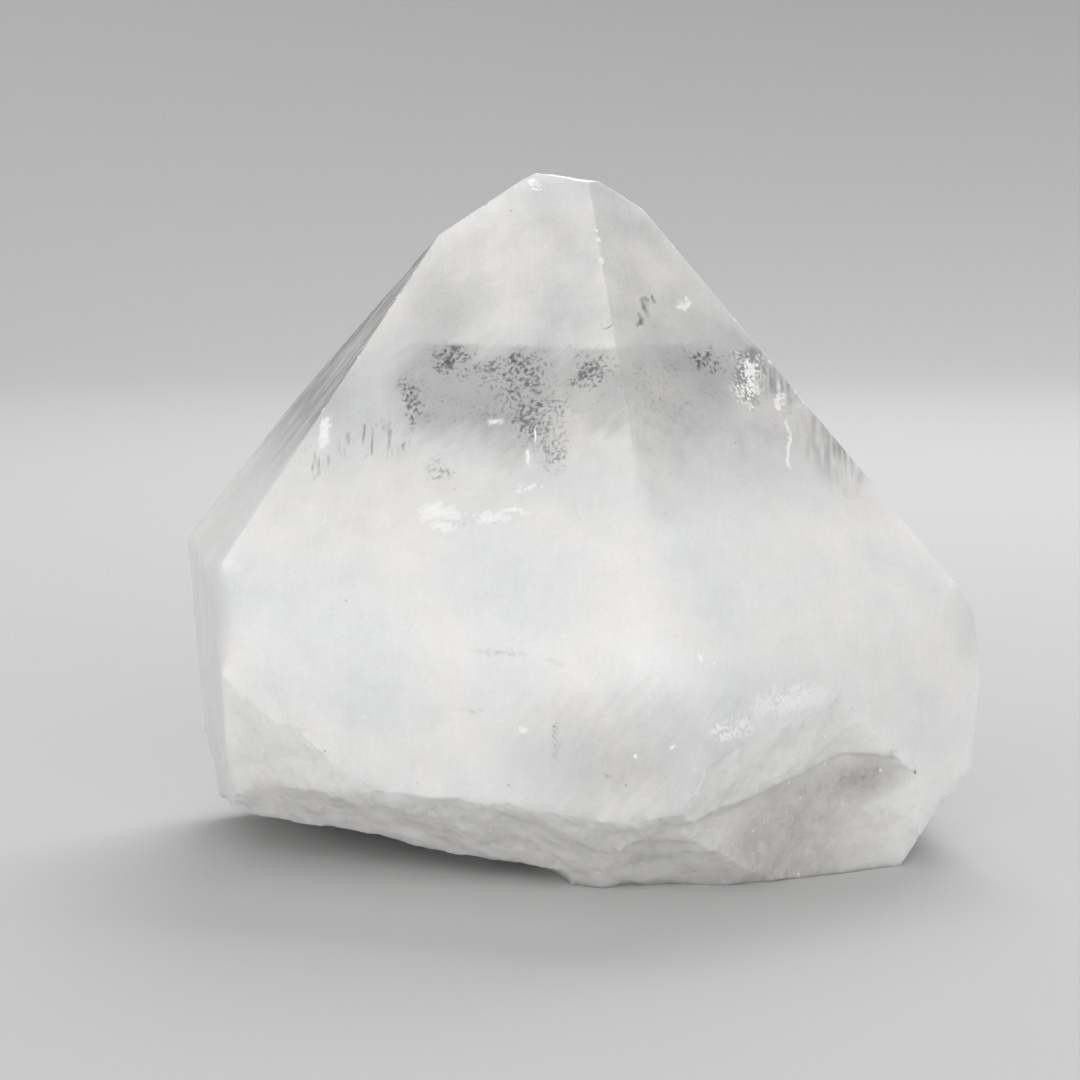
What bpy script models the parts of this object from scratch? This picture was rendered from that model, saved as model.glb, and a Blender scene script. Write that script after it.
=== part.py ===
"""Quartz point: one six-sided crystal, broken off at its base, standing point up.

The crystal is what is left of a block after its growth faces have been sliced off one by one, each at
its own distance from the growth centre. The broken base is then knocked off in flakes: each flake is a
cutter whose inner side has the dished, rippled surface that broken quartz has.

Lengths are millimetres up to the end, where the finished mesh is brought to metres. The front is -Y, an
azimuth is measured from the front towards +X, and a tilt is the angle between a face's outward normal
and straight up. The part's origin is the middle of its footprint, on the surface that it stands on.
"""

import math
from dataclasses import dataclass

import bmesh
import bpy
from mathutils import Matrix, Vector, noise

MM = 0.001  # metres in a millimetre

# The crystal
GROWTH_HEIGHT = 19.7  # the growth centre, above the surface that the part stands on
CRYSTAL_TURN = 10.7  # degrees that the crystal is turned about its long axis
CRYSTAL_LEAN = 3.0  # degrees that its long axis leans to the front
PYRAMID_TILT = 51.79  # quartz's own angle between a pyramid face and the base
PRISM_TILT = 93.5  # the prism narrows a little towards the broken end

# Distance of each growth face from the growth centre. Azimuths here are the crystal's own.
SECTORS = {  # azimuth: (pyramid face, prism face)
    -90: (27.9, 29.6),
    -30: (23.6, 27.0),
    30: (26.7, 31.8),
    90: (29.4, 35.9),
    150: (25.1, 27.0),
    210: (25.4, 27.0),
}
# Narrow faces along the edges: azimuth, tilt, distance
EDGE_FACES = {
    "left shoulder": (-81.0, 82.0, 31.2),
    "left strip": (-99.0, 52.5, 28.7),
    "right shoulder": (60.0, 74.0, 36.6),
    "front corner": (2.0, 92.0, 32.4),
}

BLOCK = 160.0  # edge of the block that the crystal is sliced from
SPARE_BELOW = 4.0  # how far the unbroken crystal runs on below the surface that it will stand on

# The cutter of a flake
FLAKE_REACH = 46.0  # half its width
FLAKE_DEPTH = 90.0  # how far it runs on, out of the crystal
FLAKE_STEP = 1.15  # spacing of the points on a broken surface
LUMP_WIDTH = 7.0
GRAIN_WIDTH = 2.6
GRAIN_SHARE = 0.6  # height of the fine lumps beside the wide ones
RING_SPACING = 3.7
STRUCK_SPOT = (4.0, -22.0)  # where the blow landed, along the scar, from the point it passes through
DISH_RADIUS = 15.0
SHORTEST_EDGE = 0.02  # slivers that the cuts leave are closed up below this


@dataclass(frozen=True)
class Flake:
    """A piece knocked off the crystal, bounded by one or more scars.

    Each scar is (azimuth, tilt, a point that it passes through). A flake with several scars comes away
    only where it lies beyond all of them, so it leaves a notch.
    """

    scars: tuple
    rough: float = 0.4  # height of the lumps
    ripple: float = 0.0  # height of the rings round the point that was struck
    dish: float = 0.0  # how much deeper the middle is than a flat scar


# Measured from the foot of the growth centre
CHIP_PEAK = (25.0, -20.1, 15.9)
FLAKES = {
    "front undercut": Flake(((-22, 136, (2.0, -18.8, 0.0)),), rough=0.5),
    "middle undercut": Flake(((10, 142, (5.4, -20.1, 0.0)),), rough=0.7),
    "left underside": Flake(((-46, 166, (9.0, -19.8, 0.0)), (-70, 118, (2.2, -18.0, 0.0)))),
    "left band": Flake(((-29, 109, (-20.9, -20.9, 14.3)),), rough=0.3),
    "left side": Flake(((-79, 100, (-29.0, -8.6, 16.3)),), rough=0.35),
    "right chip": Flake(
        ((44, 108, CHIP_PEAK), (24, 116, CHIP_PEAK), (27, 97, (21.0, -17.4, 0.0))), rough=0.2, ripple=0.08
    ),
    "right undercut": Flake(((78, 125, (30.3, -15.5, 0.0)),), rough=0.5),
    "right side": Flake(((100, 124, (32.0, 4.0, 0.0)),), rough=0.5),
    "back right": Flake(((152, 124, (14.0, 18.5, 0.0)),), rough=0.5, dish=0.8),
    "back left": Flake(((-146, 118, (-20.0, 13.2, 0.0)),), rough=0.5, dish=0.8),
    "back": Flake(((-178, 138, (-2.0, 19.5, 0.0)),), rough=0.6),
    "apex left": Flake(((-62, 24, (-0.9, -1.0, 58.6)),), rough=0.2),
    "apex right": Flake(((30, 10, (4.1, -2.5, 58.4)),), rough=0.2),
    "ridge notch": Flake(((-100, 60, (-4.6, -1.6, 56.0)), (20, 20, (-4.6, -1.6, 56.0))), rough=0.2),
    "chip ledge": Flake(
        (
            (27, 97, (21.0, -17.4, 0.0)),
            (41, 101, (17.8, -22.5, 9.0)),
            (158, 166, (19.0, -22.6, 9.2)),
            (-68, 164, (29.0, -14.2, 10.2)),
        ),
        rough=0.45,
    ),
}


def outward(azimuth, tilt):
    """The direction that a face with this azimuth and tilt looks in."""
    turn, lean = math.radians(azimuth), math.radians(tilt)
    return Vector((math.sin(turn) * math.sin(lean), -math.cos(turn) * math.sin(lean), math.cos(lean)))


def clear_scene():
    for old in list(bpy.data.objects):
        bpy.data.objects.remove(old)


def slice_off(bm, normal, point):
    """Removes what lies beyond a plane, and closes the cut with one flat face."""
    whole = bm.verts[:] + bm.edges[:] + bm.faces[:]
    cut = bmesh.ops.bisect_plane(
        bm, geom=whole, dist=1e-6, plane_co=point, plane_no=normal, clear_outer=True
    )
    rim = [item for item in cut["geom_cut"] if isinstance(item, bmesh.types.BMEdge)]
    if rim:
        bmesh.ops.edgeloop_fill(bm, edges=rim)


def growth_planes():
    """(normal, distance) of every crystal face, in the crystal's own upright pose."""
    for azimuth, (pyramid, prism) in SECTORS.items():
        yield outward(azimuth + CRYSTAL_TURN, PYRAMID_TILT), pyramid
        yield outward(azimuth + CRYSTAL_TURN, PRISM_TILT), prism
    for azimuth, tilt, distance in EDGE_FACES.values():
        yield outward(azimuth + CRYSTAL_TURN, tilt), distance


def grow_crystal():
    """The unbroken crystal."""
    bm = bmesh.new()
    bmesh.ops.create_cube(bm, size=BLOCK)
    for normal, distance in growth_planes():
        slice_off(bm, normal, normal * distance)
    lean = Matrix.Rotation(math.radians(CRYSTAL_LEAN), 4, "X")
    bmesh.ops.transform(bm, matrix=Matrix.Translation((0, 0, GROWTH_HEIGHT)) @ lean, verts=bm.verts)
    slice_off(bm, Vector((0, 0, -1)), Vector((0, 0, -SPARE_BELOW)))
    return bm


def flake_pose(flake):
    """A frame on the flake: its X and Y lie along the mean scar, and its Z looks out of the crystal."""
    facing = sum((outward(azimuth, tilt) for azimuth, tilt, _ in flake.scars), Vector()).normalized()
    sideways = Vector((0, 0, 1)).cross(facing).normalized()
    pose = Matrix((sideways, facing.cross(sideways), facing)).transposed().to_4x4()
    pose.translation = Vector(flake.scars[0][2])
    return pose


def roughness(flake, across, along, seed):
    """The lumps, rings and dish of broken quartz, as a height over the flat scar."""
    spot = Vector((across, along, seed * 31.0))  # each flake reads its own slice of the noise
    lumps = noise.noise(spot / LUMP_WIDTH) + GRAIN_SHARE * noise.noise(spot / GRAIN_WIDTH)
    from_blow = math.hypot(across - STRUCK_SPOT[0], along - STRUCK_SPOT[1])
    rings = math.sin(math.tau * from_blow / RING_SPACING)
    hollow = 1 - (across * across + along * along) / DISH_RADIUS**2
    return flake.rough * lumps + flake.ripple * rings - flake.dish * hollow


def scar_height(flake, spot, facing):
    """How far along the flake's facing direction the outermost of its scars lies from a spot."""
    heights = []
    for azimuth, tilt, through in flake.scars:
        normal = outward(azimuth, tilt)
        heights.append(normal.dot(Vector(through) - spot) / normal.dot(facing))
    return max(heights)


def flake_cutter(name, flake, seed):
    """The flake as a solid: the scars' surface inside, and a plain block beyond it."""
    pose = flake_pose(flake)
    facing = pose.col[2].to_3d()
    bm = bmesh.new()
    steps = round(2 * FLAKE_REACH / FLAKE_STEP)
    bmesh.ops.create_grid(bm, x_segments=steps, y_segments=steps, size=FLAKE_REACH)
    for vert in bm.verts:
        vert.co.z = scar_height(flake, pose @ vert.co, facing) + roughness(flake, vert.co.x, vert.co.y, seed)
    raised = bmesh.ops.extrude_face_region(bm, geom=bm.faces[:])["geom"]
    for vert in (item for item in raised if isinstance(item, bmesh.types.BMVert)):
        vert.co.z = FLAKE_DEPTH
    bmesh.ops.recalc_face_normals(bm, faces=bm.faces)
    bmesh.ops.transform(bm, matrix=pose, verts=bm.verts)
    return finish_object(name, bm)


def finish_object(name, bm):
    mesh = bpy.data.meshes.new(name)
    bm.to_mesh(mesh)
    bm.free()
    built = bpy.data.objects.new(name, mesh)
    bpy.context.scene.collection.objects.link(built)
    return built


def knock_off(stone, flakes):
    """Cuts each flake off the stone and leaves the result as the stone's own mesh."""
    for seed, (name, flake) in enumerate(flakes.items(), 1):
        cutter = flake_cutter(f"flake {name}", flake, seed)
        cut = stone.modifiers.new(name, "BOOLEAN")
        cut.operation = "DIFFERENCE"
        cut.solver = "EXACT"
        cut.object = cutter
        graph = bpy.context.evaluated_depsgraph_get()
        broken = bpy.data.meshes.new_from_object(stone.evaluated_get(graph))
        stone.modifiers.clear()
        stone.data = broken
        bpy.data.objects.remove(cutter)
        print(f"{name}: {len(broken.polygons)} faces left")


def stand_on_origin(stone):
    """Cuts the flat resting face, and puts the middle of the footprint on the origin, in metres."""
    bm = bmesh.new()
    bm.from_mesh(stone.data)
    slice_off(bm, Vector((0, 0, -1)), Vector((0, 0, 0)))
    bmesh.ops.dissolve_degenerate(bm, dist=SHORTEST_EDGE, edges=bm.edges)
    bmesh.ops.triangulate(bm, faces=bm.faces)
    lowest = Vector(min(v.co[axis] for v in bm.verts) for axis in range(3))
    highest = Vector(max(v.co[axis] for v in bm.verts) for axis in range(3))
    middle = (lowest + highest) / 2
    foot = Matrix.Translation((-middle.x, -middle.y, -lowest.z))
    bmesh.ops.transform(bm, matrix=Matrix.Scale(MM, 4) @ foot, verts=bm.verts)
    bm.to_mesh(stone.data)
    bm.free()
    print("footprint middle", [round(v, 3) for v in middle], "size", [round(v, 2) for v in highest - lowest])


def quartz_material():
    material = bpy.data.materials.new("quartz")
    material.use_nodes = True
    shader = material.node_tree.nodes["Principled BSDF"]
    shader.inputs["Base Color"].default_value = (0.86, 0.86, 0.85, 1.0)
    shader.inputs["Roughness"].default_value = 0.12
    shader.inputs["Metallic"].default_value = 0.0
    shader.inputs["IOR"].default_value = 1.544
    return material


def main():
    clear_scene()
    stone = finish_object("quartz_point", grow_crystal())
    knock_off(stone, FLAKES)
    stand_on_origin(stone)
    stone.data.materials.clear()
    stone.data.materials.append(quartz_material())


main()
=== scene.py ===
# %% [markdown]
# # A quartz point
#
# A quartz point is one crystal: six sloping faces meet at the tip, six short upright faces carry them,
# and the lower end is broken. It is clear in places and milky in others, so most of this lesson is about
# two things: keeping the grown faces truly flat while the break is rough, and a material that is glass
# and milk at once.
#
# Lengths are written in millimetres and multiplied by `MM`, because Blender works in metres.

# %% Load the fixed frame
import math
import random

import bmesh
import bpy
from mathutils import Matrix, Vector


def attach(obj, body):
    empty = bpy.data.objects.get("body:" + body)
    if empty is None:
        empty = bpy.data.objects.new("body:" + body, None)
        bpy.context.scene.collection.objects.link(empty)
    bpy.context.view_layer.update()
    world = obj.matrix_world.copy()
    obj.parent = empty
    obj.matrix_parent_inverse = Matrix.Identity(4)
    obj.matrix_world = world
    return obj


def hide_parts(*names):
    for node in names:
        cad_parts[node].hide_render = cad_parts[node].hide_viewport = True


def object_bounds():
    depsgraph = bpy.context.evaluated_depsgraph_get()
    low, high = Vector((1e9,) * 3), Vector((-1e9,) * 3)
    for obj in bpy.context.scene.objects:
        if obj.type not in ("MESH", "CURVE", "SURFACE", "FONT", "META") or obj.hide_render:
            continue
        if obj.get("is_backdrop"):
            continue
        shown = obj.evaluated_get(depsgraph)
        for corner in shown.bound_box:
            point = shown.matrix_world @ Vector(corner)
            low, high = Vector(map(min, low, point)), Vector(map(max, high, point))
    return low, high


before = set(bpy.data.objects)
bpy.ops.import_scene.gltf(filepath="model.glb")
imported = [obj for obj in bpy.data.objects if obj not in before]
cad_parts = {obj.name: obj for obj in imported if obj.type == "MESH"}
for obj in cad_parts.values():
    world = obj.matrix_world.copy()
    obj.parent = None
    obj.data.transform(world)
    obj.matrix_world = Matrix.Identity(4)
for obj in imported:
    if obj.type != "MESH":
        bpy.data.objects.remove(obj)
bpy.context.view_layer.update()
MM = 0.001

# %% [markdown]
# ## Selecting by place
#
# Operators act on what is selected. By hand you would click on faces; in a script a test picks them, so
# these helpers go over a mesh in edit mode and select every face or edge that passes a test.


# %% Helpers for selecting
def only(obj):
    """Deselect everything, then make one object the selected and active one."""
    if bpy.context.mode != "OBJECT":
        bpy.ops.object.mode_set(mode="OBJECT")
    bpy.ops.object.select_all(action="DESELECT")
    obj.select_set(True)
    bpy.context.view_layer.objects.active = obj


def pick(obj, kind, passes):
    """In edit mode, select just the faces, edges or verts that pass a test. Returns how many."""
    bpy.ops.mesh.select_all(action="DESELECT")
    bpy.ops.mesh.select_mode(type={"faces": "FACE", "edges": "EDGE", "verts": "VERT"}[kind])
    shape = bmesh.from_edit_mesh(obj.data)
    chosen = [item for item in getattr(shape, kind) if passes(item)]
    for item in chosen:
        item.select_set(True)
    shape.select_flush_mode()
    bmesh.update_edit_mesh(obj.data)
    return len(chosen)


# %% [markdown]
# ## The crystal
#
# The solid already has the right form, but its faces are a fan of triangles and its broken base is
# coarse. Modelling it again from a cube would repeat the same cuts, so a copy of the solid is the start:
# its doubles are merged, and the triangles that lie in one plane become one flat face.

# %% Copy the solid and clean it
SAME_POINT = 0.001 * MM
SAME_PLANE = math.radians(0.3)
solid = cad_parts["quartz_point"]
only(solid)
bpy.ops.object.duplicate()
crystal = bpy.context.object
crystal.name = "quartz_crystal"
crystal.data.materials.clear()
bpy.ops.object.mode_set(mode="EDIT")
bpy.ops.mesh.select_all(action="SELECT")
bpy.ops.mesh.remove_doubles(threshold=SAME_POINT)
bpy.ops.mesh.dissolve_limited(angle_limit=SAME_PLANE)
bpy.ops.object.mode_set(mode="OBJECT")
print("clean copy:", len(crystal.data.polygons), "faces")

# %% [markdown]
# A face that grew is far bigger than any facet of the break, so its area tells the two apart. The break
# gets the second material slot. From then on the slot is the label that later steps select by.

# %% Tell grown faces from the break
GROWN, BROKEN = 0, 1
SMALLEST_GROWN_FACE = 6 * MM**2
UNDERSIDE = -0.5
crystal.data.materials.append(bpy.data.materials.new("quartz_faces"))
crystal.data.materials.append(bpy.data.materials.new("quartz_break"))
for face in crystal.data.polygons:
    face.material_index = GROWN if face.area > SMALLEST_GROWN_FACE else BROKEN
growth_planes = [
    (face.normal.copy(), face.normal.dot(face.center))
    for face in crystal.data.polygons
    if face.material_index == GROWN and face.normal.z > UNDERSIDE
]
print("growth planes:", len(growth_planes))

# %% [markdown]
# ## Worn edges
#
# Real edges are never perfectly sharp: handling wears them to a line that catches the light, so each
# sharp edge between grown faces gets a narrow bevel. The low front edges of this stone are different.
# Milk hides them and they are worn round, so they are kept out of the bevel and smoothed later. The long
# ridge at the front is both: sharp near the tip and soft near the foot, so one cut splits it in two.

# %% Split the ridge and bevel the sharp edges
STEEP, FRONT, FRONT_IF_STEEP = 0.5, -0.5, -0.15
EDGE_WEAR = 0.12 * MM
SOFT_BELOW = 44 * MM
SOFTEST_BELOW = 32 * MM
SOFT_REACH = 7 * MM
SHARP_ANGLE = math.radians(8)
FLAT_ANGLE = math.radians(2)


def grown(item):
    """True for a grown face, and for an edge with a grown face on both sides."""
    if hasattr(item, "link_faces"):
        return len(item.link_faces) == 2 and all(grown(face) for face in item.link_faces)
    return item.material_index == GROWN


def facing_front(face):
    """True for the steep and sloping front faces, and for the steep ones at their sides."""
    least = FRONT_IF_STEEP if face.normal.z < STEEP else FRONT
    return grown(face) and face.normal.y < least


def soft_edge(edge):
    if not (grown(edge) and all(facing_front(face) for face in edge.link_faces)):
        return False
    return edge.calc_face_angle(0) > SHARP_ANGLE and all(v.co.z < SOFT_BELOW + MM for v in edge.verts)


def near_soft_edge(point):
    """1 on a soft edge, falling to 0 at SOFT_REACH from all of them."""
    nearest = SOFT_REACH
    for a, b in soft_lines:
        along = max(0.0, min(1.0, (point - a).dot(b - a) / (b - a).length_squared))
        nearest = min(nearest, (point - a.lerp(b, along)).length)
    return 1 - nearest / SOFT_REACH


only(crystal)
bpy.ops.object.mode_set(mode="EDIT")
pick(crystal, "faces", facing_front)
bpy.ops.mesh.bisect(plane_co=(0, 0, SOFT_BELOW), plane_no=(0, 0, 1))
pick(crystal, "edges", soft_edge)
soft_lines = [
    [v.co.copy() for v in e.verts] for e in bmesh.from_edit_mesh(crystal.data).edges if e.select
]
sharp = pick(
    crystal,
    "edges",
    lambda e: grown(e) and not soft_edge(e) and e.calc_face_angle(0) > SHARP_ANGLE,
)
bpy.ops.mesh.bevel(offset=EDGE_WEAR, segments=2, affect="EDGES")
bpy.ops.object.mode_set(mode="OBJECT")
print("edges: soft", len(soft_lines), "sharp", sharp)

# %% [markdown]
# ## Nicks
#
# A loose stone knocks against others, and quartz answers with tiny shell-shaped chips along its edges. A
# chip is a hollow, so small squashed balls are laid along the edges and one Boolean takes them all out.
# Random places look natural; the seed makes them the same each time.

# %% Lay the cutters along the edges
NICK_SPACING = 11 * MM
NICK_SIZES = (0.25 * MM, 0.75 * MM)
NICK_OUT = 0.55
LONG_EDGE = 6 * MM
FOOT = 3 * MM
dice = random.Random(7)


def nick(place, size):
    """One squashed ball, turned at random, whose middle stays near the surface."""
    bpy.ops.object.select_all(action="DESELECT")
    bpy.ops.mesh.primitive_ico_sphere_add(subdivisions=2, radius=size, location=place)
    ball = bpy.context.object
    ball.scale = (1, dice.uniform(0.5, 1), dice.uniform(0.35, 0.8))
    ball.rotation_euler = [dice.uniform(0, math.tau) for _ in range(3)]
    return ball


crystal.data.calc_loop_triangles()
middle = sum((Vector(corner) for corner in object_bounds()), Vector()) / 2
shape = bmesh.new()
shape.from_mesh(crystal.data)
lines = [
    [v.co.copy() for v in e.verts]
    for e in shape.edges
    if grown(e) and e.calc_length() > LONG_EDGE and e.calc_face_angle(0) > FLAT_ANGLE
]
shape.free()
balls = []
for start_point, end_point in lines:
    for _ in range(round((end_point - start_point).length / NICK_SPACING)):
        place = start_point.lerp(end_point, dice.random())
        if place.z < FOOT or near_soft_edge(place) > 0:
            continue
        size = dice.uniform(*NICK_SIZES) * dice.random() ** 0.5
        outward = (place - middle).normalized()
        balls.append(nick(place + outward * size * NICK_OUT, size))
print("nicks:", len(balls))

# %% Cut them out
bpy.ops.object.select_all(action="DESELECT")
for ball in balls:
    ball.select_set(True)
bpy.context.view_layer.objects.active = balls[0]
bpy.ops.object.transform_apply(location=True, rotation=True, scale=True)
bpy.ops.object.join()
cutter = bpy.context.object
for slot in crystal.material_slots:
    cutter.data.materials.append(slot.material)
for face in cutter.data.polygons:
    face.material_index = BROKEN
only(crystal)
cut = crystal.modifiers.new("nicks", "BOOLEAN")
cut.operation = "DIFFERENCE"
cut.solver = "EXACT"
cut.use_self = True
cut.object = cutter
bpy.ops.object.modifier_apply(modifier="nicks")
bpy.data.objects.remove(cutter)
print("faces after the nicks:", len(crystal.data.polygons))

# %% [markdown]
# ## The soft shoulder
#
# A flat face can't bend, so the low front faces are first cut into a grid with bisect. A Smooth modifier
# then rounds them, but only near the soft edges: a vertex group holds how much each point may move.

# %% Grid the low front
GRID = 1.0 * MM


def low_front(face):
    return facing_front(face) and face.calc_center_median().z < SOFT_BELOW


def low_side(face):
    return low_front(face) and abs(face.normal.x) > 0.5


only(crystal)
bpy.ops.object.mode_set(mode="EDIT")
low_corner, high_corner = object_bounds()
for axis in range(3):
    side = Vector([float(i == axis) for i in range(3)])
    for count in range(1, int((high_corner[axis] - low_corner[axis]) / GRID)):
        place = low_corner[axis] + count * GRID
        if axis == 2 and place > SOFT_BELOW:
            break
        wanted = low_front if axis != 1 else low_side
        pick(crystal, "faces", wanted)
        bpy.ops.mesh.bisect(plane_co=side * place, plane_no=side)
bpy.ops.object.mode_set(mode="OBJECT")
print("faces after the grid:", len(crystal.data.polygons))

# %% Round it
ROUND_STRENGTH, ROUND_STEPS = 0.6, 50
worn = crystal.vertex_groups.new(name="worn")
fixed = set()
for face in crystal.data.polygons:
    if not facing_front(face):
        fixed.update(face.vertices)
for corner in crystal.data.vertices:
    lower = (SOFT_BELOW - corner.co.z) / (SOFT_BELOW - SOFTEST_BELOW)
    weight = near_soft_edge(corner.co) * min(1, max(0, lower)) ** 2
    if weight > 0 and corner.index not in fixed:
        worn.add([corner.index], weight, "REPLACE")
only(crystal)
round_off = crystal.modifiers.new("round_off", "SMOOTH")
round_off.factor = ROUND_STRENGTH
round_off.iterations = ROUND_STEPS
round_off.vertex_group = "worn"
bpy.ops.object.modifier_apply(modifier="round_off")

# %% [markdown]
# ## The broken base
#
# Broken quartz is a crowd of small shell-shaped dents. The facets of the break are subdivided, smoothed
# a little and pushed in and out by two noise textures: a wide one for lumps and a fine one for the
# sugary grain. The rim stays where it is, so the grown faces stay flat.

# %% Refine the break
BREAK_CUTS = 3
BREAK_FACET = 0.5 * MM
bpy.ops.object.mode_set(mode="EDIT")
pick(crystal, "faces", lambda face: not grown(face) and face.calc_perimeter() > 3 * BREAK_FACET)
bpy.ops.mesh.quads_convert_to_tris()
bpy.ops.mesh.subdivide(number_cuts=BREAK_CUTS, smoothness=0)
bpy.ops.object.mode_set(mode="OBJECT")
inner = crystal.vertex_groups.new(name="break")
rim = {v for face in crystal.data.polygons if face.material_index == GROWN for v in face.vertices}
inner.add([v.index for v in crystal.data.vertices if v.index not in rim], 1.0, "REPLACE")
print("faces after refining:", len(crystal.data.polygons))

# %% Smooth and roughen the break
LUMPS = (("lumps", 1.6 * MM, 0.3 * MM), ("grain", 0.4 * MM, 0.12 * MM))
SOFTEN_STRENGTH, SOFTEN_STEPS = 0.5, 4
only(crystal)
soften = crystal.modifiers.new("soften", "SMOOTH")
soften.factor = SOFTEN_STRENGTH
soften.iterations = SOFTEN_STEPS
soften.vertex_group = "break"
bpy.ops.object.modifier_apply(modifier="soften")
for name, width, height in LUMPS:
    noise_map = bpy.data.textures.new(name, "CLOUDS")
    noise_map.noise_scale = width
    push = crystal.modifiers.new(name, "DISPLACE")
    push.texture = noise_map
    push.texture_coords = "OBJECT"
    push.strength = height
    push.mid_level = 0.5
    push.vertex_group = "break"
    bpy.ops.object.modifier_apply(modifier=name)
bpy.ops.object.mode_set(mode="EDIT")
bpy.ops.mesh.select_all(action="SELECT")
bpy.ops.mesh.faces_shade_flat()
pick(crystal, "faces", lambda face: not grown(face) or low_front(face))
bpy.ops.mesh.faces_shade_smooth()
bpy.ops.object.mode_set(mode="OBJECT")
crystal.vertex_groups.clear()
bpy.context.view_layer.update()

# %% [markdown]
# Each grown face shows a different depth of the stone, so some look clearer. Two face attributes mark
# the clear ones, and the material reads them by name. A face gets 1 if it looks straight in the marked
# direction and less the further it turns away, so the mark fades over a rounded edge.

# %% Mark the clearer faces
FADE = 1.4
MARKS = {"right_face": (-50.8, 0.3, 45), "left_face": (-167.0, 0.5, 30)}  # turn, least up, width
for name, (middle_turn, least_up, within) in MARKS.items():
    mark = crystal.data.attributes.new(name, "FLOAT", "FACE")
    for face in crystal.data.polygons:
        turn = math.degrees(math.atan2(face.normal.y, face.normal.x))
        straight = max(0, min(1, FADE * (1 - abs(turn - middle_turn) / within)))
        mark.data[face.index].value = straight if face.normal.z > least_up else 0
    print(name, sum(item.value > 0 for item in mark.data), "faces")

# %% [markdown]
# The break is painted greyer the deeper it goes, as painted shade in its hollows. One more attribute, this
# time on the points so that it blends, holds how many millimetres of stone are missing over each point:
# its distance from the nearest of the planes that the growth faces lie in.

# %% Mark the depth of the break
missing = crystal.data.attributes.new("missing", "FLOAT", "POINT")
for corner in crystal.data.vertices:
    depth = min(far - normal.dot(corner.co) for normal, far in growth_planes)
    missing.data[corner.index].value = depth / MM
print("deepest:", round(max(item.value for item in missing.data), 1), "mm")


# %% Give the piece its place in the model
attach(crystal, "root")
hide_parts("quartz_point")


# %% [markdown]
# ## Shader sums
#
# A pattern is a sum of masks, and sums read best as sums. This class wraps a node's output so that
# Python's own operators add the Math nodes.


# %% A socket with operators
class Value:
    """One output of a shader node. Python's operators on it add Math nodes."""

    def __init__(self, tree, output):
        self.tree = tree
        self.output = output

    def node(self, kind, settings, inputs, out=0):
        """Add a node: settings first, then the values or links of its sockets."""
        made = self.tree.nodes.new(kind)
        for name, value in settings.items():
            setattr(made, name, value)
        for name, value in inputs.items():
            if isinstance(value, Value):
                self.tree.links.new(value.output, made.inputs[name])
            else:
                made.inputs[name].default_value = value
        return Value(self.tree, made.outputs[out])

    def sum(self, operation, *terms):
        return self.node("ShaderNodeMath", {"operation": operation}, dict(enumerate(terms)))

    def __add__(self, other):
        return self.sum("ADD", self, other)

    __radd__ = __add__

    def __sub__(self, other):
        return self.sum("SUBTRACT", self, other)

    def __rsub__(self, other):
        return self.sum("SUBTRACT", other, self)

    def __mul__(self, other):
        return self.sum("MULTIPLY", self, other)

    __rmul__ = __mul__

    def vector(self, operation, other):
        return self.node("ShaderNodeVectorMath", {"operation": operation}, {0: self, 1: other})

    def step(self, low, high):
        """0 at low, 1 at high, and an even blend between them. low may be above high."""
        ends = {"From Min": low, "From Max": high, "To Min": 0.0, "To Max": 1.0}
        return self.node("ShaderNodeMapRange", {"clamp": True}, {"Value": self, **ends})

    def kept(self):
        """Held between 0 and 1."""
        return self.node("ShaderNodeClamp", {}, {"Value": self})


def start(material):
    """Empty a material's node tree and return the object's own coordinates in millimetres."""
    material.use_nodes = True
    tree = material.node_tree
    tree.nodes.clear()
    place = Value(tree, tree.nodes.new("ShaderNodeTexCoord").outputs["Object"])
    return place.node(
        "ShaderNodeVectorMath", {"operation": "SCALE"}, {"Vector": place, "Scale": 1 / MM}
    )


def axes(place):
    return [place.node("ShaderNodeSeparateXYZ", {}, {"Vector": place}, out=i) for i in range(3)]


def attribute(place, name):
    settings = {"attribute_type": "GEOMETRY", "attribute_name": name}
    return place.node("ShaderNodeAttribute", settings, {}, out=2)


def noise(place, width, detail):
    """Cloudy noise from 0 to 1 whose blobs are about this many millimetres wide."""
    inputs = {"Vector": place, "Scale": 1 / width, "Detail": detail}
    return place.node("ShaderNodeTexNoise", {"noise_dimensions": "3D"}, inputs)


def fibres(place, sizes, lean):
    """Noise drawn out to these sizes, then leant this many degrees, to the right at the top."""
    turned = place.node(
        "ShaderNodeMapping",
        {"vector_type": "TEXTURE"},
        {"Vector": place, "Rotation": (0, math.radians(lean), 0), "Scale": sizes},
    )
    return noise(turned, 1.0, 1.0)


def spots(place, marks, soft):
    """1 inside any of the ellipsoids and 0 outside, blending over the outer part of the radius."""
    nearest = None
    for middle, radii in marks:
        shrink = [1 / radius for radius in radii]
        shift = [-centre / radius for centre, radius in zip(middle, radii)]
        inputs = {0: place, 1: shrink, 2: shift}
        ball = place.node("ShaderNodeVectorMath", {"operation": "MULTIPLY_ADD"}, inputs)
        far = place.node("ShaderNodeVectorMath", {"operation": "LENGTH"}, {0: ball}, out=1)
        nearest = far if nearest is None else place.sum("MINIMUM", nearest, far)
    return nearest.step(1.0, 1.0 - soft)


def speckle(place, spacing, radius):
    """Scattered dots: their mask, and a number that is random from dot to dot."""
    settings = {"voronoi_dimensions": "3D", "feature": "F1"}
    inputs = {"Vector": place, "Scale": 1 / spacing}
    far = place.node("ShaderNodeTexVoronoi", settings, inputs)
    colour = Value(place.tree, far.output.node.outputs["Color"])
    limit = radius / spacing
    return far.step(limit, 0.6 * limit), axes(colour)[0]


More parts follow.
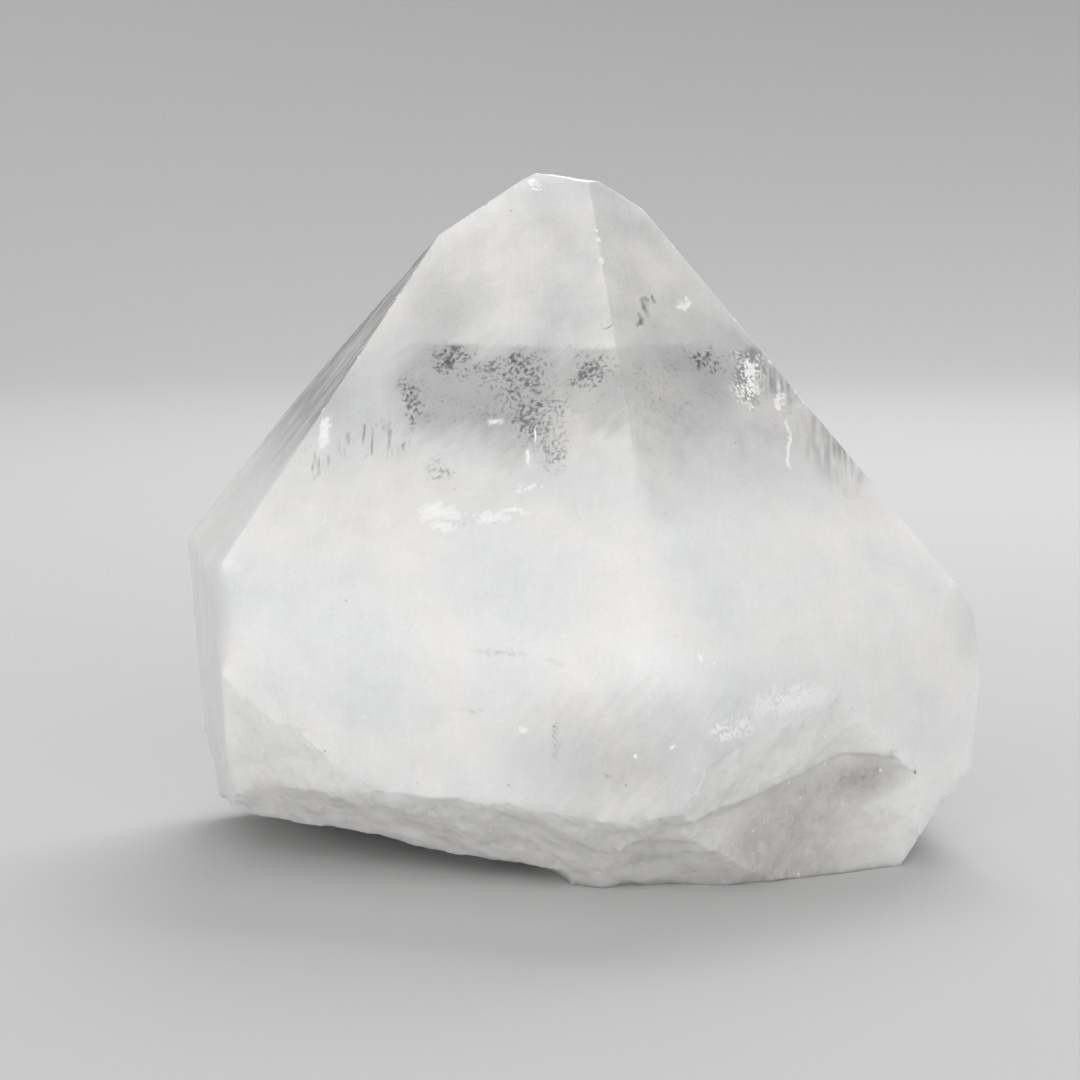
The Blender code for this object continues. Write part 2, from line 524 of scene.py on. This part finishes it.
def facets(place, spacing, tilt):
    """A normal that leans a different way in each small grain, as on broken sugar."""
    inputs = {"Vector": place, "Scale": 1 / spacing}
    random_colour = place.node("ShaderNodeTexVoronoi", {"voronoi_dimensions": "3D"}, inputs, out=1)
    lean = random_colour.vector("SUBTRACT", (0.5, 0.5, 0.5)).vector("MULTIPLY", (tilt, tilt, tilt))
    straight = place.node("ShaderNodeNewGeometry", {}, {}, out=1)
    leant = straight.vector("ADD", lean)
    return place.node("ShaderNodeVectorMath", {"operation": "NORMALIZE"}, {0: leant})


def colour_mix(place, share, first, second):
    """first where share is 0 and second where it is 1."""
    settings = {"data_type": "RGBA", "blend_type": "MIX"}
    return place.node("ShaderNodeMix", settings, {0: share, 6: first, 7: second}, out=2)


# %% [markdown]
# ## Quartz: glass and milk
#
# Clear quartz is glass with an index of refraction of 1.544. Milky quartz is the same stone full of tiny
# bubbles, which scatter light, so it is shaded as a white, slightly waxy solid with light travelling a
# few millimetres inside it. The real stone runs from one to the other, so both shaders are mixed, and
# the mask between them is the picture of the stone.
#
# Blender can follow that light in two ways. A random walk is truer at thin rims, so the break gets it. On
# the flat grown faces the quicker method gives the same look in less time.


# %% Quartz material
QUARTZ_IOR = 1.544
GLASS_COLOUR = (0.93, 0.94, 0.945, 1)
GLASS_ROUGHNESS = 0.06


def quartz(material, milk, tint, method, rough, depth, relief={}):
    """Mix glass and milk. depth is how far light travels in the milk, relief the Normal input, if any."""
    tree = material.node_tree
    clear = milk.node(
        "ShaderNodeBsdfPrincipled",
        {},
        {"Base Color": GLASS_COLOUR, "Roughness": GLASS_ROUGHNESS, "IOR": QUARTZ_IOR,
         "Transmission Weight": 1.0, **relief},
    )
    milky = milk.node(
        "ShaderNodeBsdfPrincipled",
        {"subsurface_method": method},
        {"Base Color": tint, "Roughness": rough, "IOR": QUARTZ_IOR, "Subsurface Weight": 1.0,
         "Subsurface Radius": (1.0, 1.0, 1.0), "Subsurface Scale": depth, **relief},
    )
    mixed = milk.node("ShaderNodeMixShader", {}, {0: milk, 1: clear, 2: milky})
    out = tree.nodes.new("ShaderNodeOutputMaterial")
    tree.links.new(mixed.output, out.inputs["Surface"])


# %% [markdown]
# ### The marks
#
# What makes one stone different from the next is where its marks lie: clumps of clear grains, white
# flakes, streaks, a cracked corner. Some marks are painted light instead: painted glints, a painted
# rainbow glint and painted shade on the chip. Each is an ellipsoid at a place on the stone, and noise
# bends its outline. The lists give its middle and its half sizes in millimetres.

# %% Places of the marks
WINDOW = (
    ((-10.2, -11.5, 41.4), (6.6, 12, 5.4)),
    ((-4.4, -13.5, 40.6), (6.0, 12, 7.0)),
    ((1.8, -14.5, 42.0), (5.4, 12, 5.0)),
    ((8.2, -12.0, 42.0), (6.8, 12, 5.2)),
)
WINDOW_TOP = 44.8
SPECKLED = (
    ((-10.8, -9.7, 43.6), (3.0, 5, 1.9)),
    ((-13.9, -11.0, 39.8), (1.3, 5, 2.7)),
    ((-5.2, -12.4, 42.6), (4.0, 5, 2.6)),
    ((-3.0, -15.2, 39.4), (3.2, 5, 2.4)),
    ((-1.6, -18.0, 36.4), (1.7, 5, 2.5)),
    ((1.6, -13.9, 42.9), (2.1, 4, 1.7)),
    ((11.8, -8.0, 43.2), (2.0, 4, 1.3)),
    ((-11.0, -16.3, 34.6), (1.6, 4, 1.1)),
)
MISTY = (((4.0, -30.0, 12.5), (13.0, 12, 7.5)),)
CREAMY = (((-11.6, -6.0, 47.6), (3.6, 7, 4.6)),)
DARK_STREAKS = (
    ((-17.4, -12.6, 36.8), (3.0, 5, 1.7)),
    ((-22.0, -12.0, 35.2), (1.7, 5, 1.4)),
    ((-14.6, -13.8, 36.2), (1.0, 5, 1.4)),
)
DARK_FLECKS = (
    ((6.2, -8.2, 48.0), (0.45, 3, 0.95)),
    ((5.4, -9.7, 46.9), (0.35, 3, 0.7)),
    ((6.9, -7.6, 48.6), (0.3, 3, 0.5)),
    ((2.7, -11.9, 46.5), (0.6, 3, 0.2)),
)
FAINT_LINES = (
    ((-6.4, -27.5, 21.3), (3.2, 4, 0.4)),
    ((-1.6, -29.2, 20.6), (1.2, 4, 0.3)),
    ((-8.8, -27.0, 16.4), (1.8, 4, 0.22)),
    ((-1.8, -28.2, 14.6), (0.35, 4, 3.4)),
    ((-17.6, -21.0, 9.6), (1.2, 4, 0.35)),
    ((2.4, -29.0, 11.4), (0.7, 4, 0.3)),
)
# Partly white flakes in the stone, partly painted glints: white spots that stand in for light caught by
# cracks and growth steps.
WHITE_FLAKES_AND_GLINTS = (
    ((-6.6, -14.6, 38.7), (0.8, 3, 0.45)),
    ((-3.1, -16.3, 38.0), (0.16, 3, 1.1)),
    ((-3.8, -17.6, 35.9), (0.24, 3, 0.9)),
    ((-11.4, -18.4, 31.6), (2.3, 4, 0.65)),
    ((-11.0, -19.2, 30.5), (1.1, 4, 0.4)),
    ((-7.2, -19.6, 31.4), (2.0, 4, 0.5)),
    ((-5.0, -20.0, 32.0), (1.4, 4, 0.2)),
    ((-3.9, -19.0, 33.8), (1.0, 4, 0.3)),
    ((9.5, -5.6, 47.9), (0.9, 3, 0.5)),
    ((-21.2, -10.4, 37.6), (0.6, 4, 1.3)),
    ((-3.6, -1.2, 58.0), (0.7, 2, 0.5)),
    ((17.6, -6.2, 39.9), (0.5, 4, 1.4)),
    ((18.3, -9.6, 36.2), (0.24, 4, 3.2)),
)
# Painted glints: small white spots that stand in for light flashing off small cracks.
GLINTS = (
    ((9.8, -30.1, 21.1), (0.4, 3, 0.35)),
    ((7.6, -30.0, 14.2), (0.3, 3, 0.3)),
    ((4.6, -30.2, 13.1), (0.25, 3, 0.25)),
    ((-4.2, -27.3, 15.2), (0.45, 3, 0.35)),
)
SUGARY_RIM = (((17.4, -23.8, 16.9), (4.8, 6, 1.4)), ((12.5, -27.0, 15.0), (2.2, 6, 1.0)))
CRACKED = (((14.9, -6.2, 41.9), (2.0, 5, 3.2)),)
CLEAR_EDGE = (((17.8, -5.4, 41.0), (2.6, 4, 2.6)), ((22.4, -6.6, 35.4), (4.2, 4, 5.6)))
# A painted rainbow glint: a lilac spot that stands in for light split by a crack.
RAINBOW_GLINT = (((17.1, -8.6, 38.0), (0.45, 3, 0.55)),)
# Painted shade: the deep part of the chip floor is painted brown-grey where it faces away from the light.
CHIP_FLOOR_SHADE = (((21.0, -17.0, 4.5), (13.0, 12, 6.5)),)
# Painted shade: a dark patch where a small scar facet faces away from the light.
SCAR_SHADE = (((24.6, -15.2, 8.4), (5.6, 5, 2.6)),)


# %% [markdown]
# ### The grown faces
#
# The mask starts as nearly all milk and loses some of it towards the tip, where the real stone is
# clearer. Then each list takes its share away: the window under the tip, its dark specks, the streaks on
# the left face. White flakes put milk back in a whiter tint, and so do painted glints: white spots that
# stand in for light flashing off small cracks and growth steps. The surface itself stays smooth,
# because grown quartz faces are, and the grain lies inside the stone.


# %% Paint the grown faces
BODY_MILK = 0.93
TIP_CLEARER, RIGHT_CLEARER = 0.15, 0.14
FACE_ROUGHNESS, FACE_DEPTH = 0.55, 4 * MM
COOL_MILK, WARM_MILK = (0.89, 0.895, 0.9, 1), (0.9, 0.89, 0.875, 1)
SMOKE, FLAKE_AND_GLINT_WHITE, LILAC_GLINT = (0.72, 0.71, 0.68, 1), (0.99, 0.99, 0.98, 1), (0.85, 0.72, 0.98, 1)


def paint_faces(material):
    plain = start(material)
    z = axes(plain)[2]
    right_face = attribute(plain, "right_face")
    left_face = attribute(plain, "left_face")
    cloud = noise(plain, 9.0, 1.0)
    patch = noise(plain, 2.6, 3.0)
    grain = noise(plain, 0.33, 2.0)
    upright = fibres(plain, (0.4, 5.0, 2.5), 0)
    slanted = fibres(plain, (0.8, 0.8, 6.0), 40)
    dots, chosen = speckle(plain, 1.9, 0.12)
    shift = plain.node("ShaderNodeCombineXYZ", {}, {"X": patch - 0.5, "Z": slanted - 0.5})
    place = plain.vector("ADD", shift.vector("MULTIPLY", (4.0, 0.0, 4.0)))
    near = plain.vector("ADD", shift.vector("MULTIPLY", (2.2, 0.0, 1.6)))

    low = (z + 7 * (cloud - 0.5)).step(37.5, 30.0)
    under_top = (z + 0.9 * (grain - 0.5)).step(WINDOW_TOP + 0.2, WINDOW_TOP - 0.2)
    window = spots(place, WINDOW, 0.5) * under_top
    clump = spots(place, SPECKLED, 0.7) * under_top
    flecked = (grain + 0.4 * patch + 0.12 * clump).step(0.74, 0.96) * (clump + 0.4 * window).kept()
    dark = 0.45 * flecked + 0.4 * spots(place, DARK_STREAKS, 0.6) * upright.step(0.52, 0.64)
    dark = dark + 0.28 * spots(near, FAINT_LINES, 0.9) * grain.step(0.4, 0.62)
    dark = dark + 0.45 * spots(near, DARK_FLECKS, 0.8)
    dark = dark + 0.3 * dots * chosen.step(0.2, 0.19)
    glassy = spots(place, CLEAR_EDGE, 0.8) * (0.16 + 1.2 * (upright - 0.45))
    cracked = spots(place, CRACKED, 0.5)
    creamy = spots(place, CREAMY, 0.6)

    high = 1 - low
    milk = BODY_MILK - (TIP_CLEARER + RIGHT_CLEARER * right_face) * high
    milk = milk + (0.2 + 0.3 * high) * (cloud - 0.5) + (0.18 + 0.12 * high) * (patch - 0.5)
    milk = milk + 0.1 * (grain - 0.5) + 0.05 * (upright - 0.5) - glassy
    milk = milk - window * (0.21 + 0.4 * (patch - 0.5) - 0.08 * right_face)
    milk = milk - left_face * z.step(33, 40) * (0.42 + 1.0 * (slanted - 0.5)) - dark - 0.3 * cracked
    milk = milk - 0.28 * spots(place, MISTY, 0.9) - creamy * (0.05 + 0.3 * (patch - 0.5))
    broken_up = (grain + patch).step(0.8, 1.2)
    white_and_glints = spots(near, WHITE_FLAKES_AND_GLINTS, 0.8) * broken_up + 0.8 * cracked * (grain + patch).step(0.95, 1.15)
    white_and_glints = white_and_glints + spots(near, SUGARY_RIM, 0.8) * (grain + patch).step(0.95, 1.3)
    # Painted glints: the GLINTS spots and scattered white dots low on the faces stand in for sparkle.
    white_and_glints = white_and_glints + spots(near, GLINTS, 0.9) + 0.6 * dots * chosen.step(0.72, 0.73) * z.step(35, 25)
    milk = (milk + white_and_glints.kept()).kept()

    tint = colour_mix(plain, cloud.step(0.35, 0.65), COOL_MILK, WARM_MILK)
    smoke = (0.3 * (patch - 0.4) + 0.5 * creamy * patch).kept()
    tint = colour_mix(plain, smoke, tint, SMOKE)
    tint = colour_mix(plain, white_and_glints.kept(), tint, FLAKE_AND_GLINT_WHITE)
    # Painted rainbow glint.
    tint = colour_mix(plain, 0.8 * spots(place, RAINBOW_GLINT, 0.6), tint, LILAC_GLINT)
    quartz(material, milk, tint, "BURLEY", FACE_ROUGHNESS, FACE_DEPTH)


# %% [markdown]
# ### The break
#
# Fresh breaks look like wet sugar. The break is painted a little greyer the deeper the scar goes, as
# painted shade in its hollows, and the chip floor and one scar get darker painted shade. Scattered white
# dots are painted glints. Each grain of about half a millimetre has a normal of its own, so that some of
# them catch the light.


# %% Paint the break
SUGAR_GRAIN, SUGAR_TILT = 0.55, 0.27
BREAK_ROUGHNESS, BREAK_DEPTH = 0.3, 2 * MM
RIM_TINT, DEEP_SHADE_TINT = (0.9, 0.9, 0.89, 1), (0.9, 0.892, 0.88, 1)
CHIP_SHADE_TINT, SCAR_SHADE_TINT, GRAIN_TINT = (0.7, 0.68, 0.66, 1), (0.5, 0.48, 0.46, 1), (0.66, 0.65, 0.635, 1)


def paint_break(material):
    place = start(material)
    missing = attribute(place, "missing")
    patch = noise(place, 3.0, 3.0)
    grain = noise(place, 0.5, 3.0)
    dots, chosen = speckle(place, 1.0, 0.15)
    # Painted glints: scattered white dots that stand in for grains catching the light.
    glint = dots * chosen.step(0.7, 0.71)
    # Painted shade: less milk and a greyer tint the deeper the break goes.
    deep_shade = (missing + 1.6 * (patch - 0.5)).step(0.3, 2.4)
    chip_shade = spots(place, CHIP_FLOOR_SHADE, 0.4)
    milk = (0.96 - 0.08 * deep_shade + 0.2 * (patch - 0.5) + 0.25 * (grain - 0.5) + glint).kept()
    tint = colour_mix(place, deep_shade, RIM_TINT, DEEP_SHADE_TINT)
    # Painted shade on the chip floor.
    tint = colour_mix(place, deep_shade * chip_shade, tint, CHIP_SHADE_TINT)
    # Painted shade on one small scar.
    tint = colour_mix(place, spots(place, SCAR_SHADE, 0.9), tint, SCAR_SHADE_TINT)
    tint = colour_mix(place, (0.9 * (grain - 0.35)).kept(), tint, GRAIN_TINT)
    tint = colour_mix(place, glint, tint, FLAKE_AND_GLINT_WHITE)
    relief = {"Normal": facets(place, SUGAR_GRAIN, SUGAR_TILT)}
    quartz(material, milk, tint, "RANDOM_WALK", BREAK_ROUGHNESS, BREAK_DEPTH, relief)


paint_faces(bpy.data.materials["quartz_faces"])
paint_break(bpy.data.materials["quartz_break"])

# %% [markdown]
# ## Floor, light and camera
#
# The floor is a round sheet of pale paper that curves up all round, so no horizon line shows from any
# side. A large soft light above and behind the stone makes its edges glow, a wide soft light in front keeps
# its face bright, and a weak one from the left opens the shade there.

# %% The paper
FLAT_RADIUS = 450 * MM
COVE_RADIUS = 200 * MM
COVE_STEPS = 10
PAPER_GREY = (0.62, 0.62, 0.62, 1)
PAPER_ROUGHNESS = 0.9
bpy.ops.object.select_all(action="DESELECT")
bpy.ops.mesh.primitive_circle_add(vertices=96, radius=FLAT_RADIUS, fill_type="NOTHING")
floor = bpy.context.object
floor.name = "paper"
bpy.ops.object.mode_set(mode="EDIT")
bpy.ops.mesh.select_mode(type="EDGE")
bpy.ops.mesh.select_all(action="SELECT")
for turn in range(COVE_STEPS):
    a, b = (math.radians(90) * (turn + i) / COVE_STEPS for i in (0, 1))
    rise = COVE_RADIUS * (math.cos(a) - math.cos(b))
    out_now = FLAT_RADIUS + COVE_RADIUS * math.sin(a)
    out_next = FLAT_RADIUS + COVE_RADIUS * math.sin(b)
    bpy.ops.mesh.extrude_region_move(TRANSFORM_OT_translate={"value": (0, 0, rise)})
    bpy.ops.transform.resize(value=(out_next / out_now, out_next / out_now, 1))
pick(floor, "edges", lambda edge: all(v.co.z == 0 for v in edge.verts))
bpy.ops.mesh.edge_face_add()
bpy.ops.mesh.select_all(action="SELECT")
bpy.ops.mesh.normals_make_consistent(inside=True)
bpy.ops.object.mode_set(mode="OBJECT")
bpy.ops.object.shade_smooth()
paper = bpy.data.materials.new("paper")
paper.use_nodes = True
paper_shader = paper.node_tree.nodes["Principled BSDF"]
paper_shader.inputs["Base Color"].default_value = PAPER_GREY
paper_shader.inputs["Roughness"].default_value = PAPER_ROUGHNESS
floor.data.materials.append(paper)
floor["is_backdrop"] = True
print("paper:", len(floor.data.polygons), "faces")

# %% Light
SKY_STRENGTH = 0.48
LIGHT_AIM = Vector((0, 0, 25))
world = bpy.data.worlds.new("studio")
bpy.context.scene.world = world
world.use_nodes = True
sky = world.node_tree.nodes["Background"]
sky.inputs["Color"].default_value = (1, 1, 1, 1)
sky.inputs["Strength"].default_value = SKY_STRENGTH
bpy.context.scene.view_settings.view_transform = "Standard"


def softbox(name, place, size, power):
    """A rectangular light, in millimetres and watts, that points at the middle of the stone."""
    lamp = bpy.data.lights.new(name, "AREA")
    lamp.shape = "RECTANGLE"
    lamp.size, lamp.size_y = (side * MM for side in size)
    lamp.energy = power
    holder = bpy.data.objects.new(name, lamp)
    bpy.context.scene.collection.objects.link(holder)
    holder.visible_camera = False
    holder.location = Vector(place) * MM
    turn = (LIGHT_AIM - Vector(place)).to_track_quat("-Z", "Y")
    holder.rotation_euler = turn.to_euler()


softbox("back_light", (90, 330, 380), (350, 300), 1.3)
softbox("front_light", (25, -480, 190), (450, 350), 1.17)
softbox("left_light", (-400, -130, 130), (250, 200), 0.2)

# %% Camera
CAMERA_PLACE = Vector((-2.99, -296.946, 68.415)) * MM
CAMERA_AIM = Vector((-2.99, 0.135, 26.663)) * MM
FOCAL_LENGTH, SENSOR_WIDTH = 113.0, 36.0
NEAREST_SEEN = 10 * MM
lens = bpy.data.cameras.new("camera")
lens.lens = FOCAL_LENGTH
lens.sensor_width = SENSOR_WIDTH
lens.clip_start = NEAREST_SEEN
eye = bpy.data.objects.new("camera", lens)
bpy.context.scene.collection.objects.link(eye)
eye.location = CAMERA_PLACE
eye.rotation_euler = (CAMERA_AIM - CAMERA_PLACE).to_track_quat("-Z", "Y").to_euler()
bpy.context.scene.camera = eye
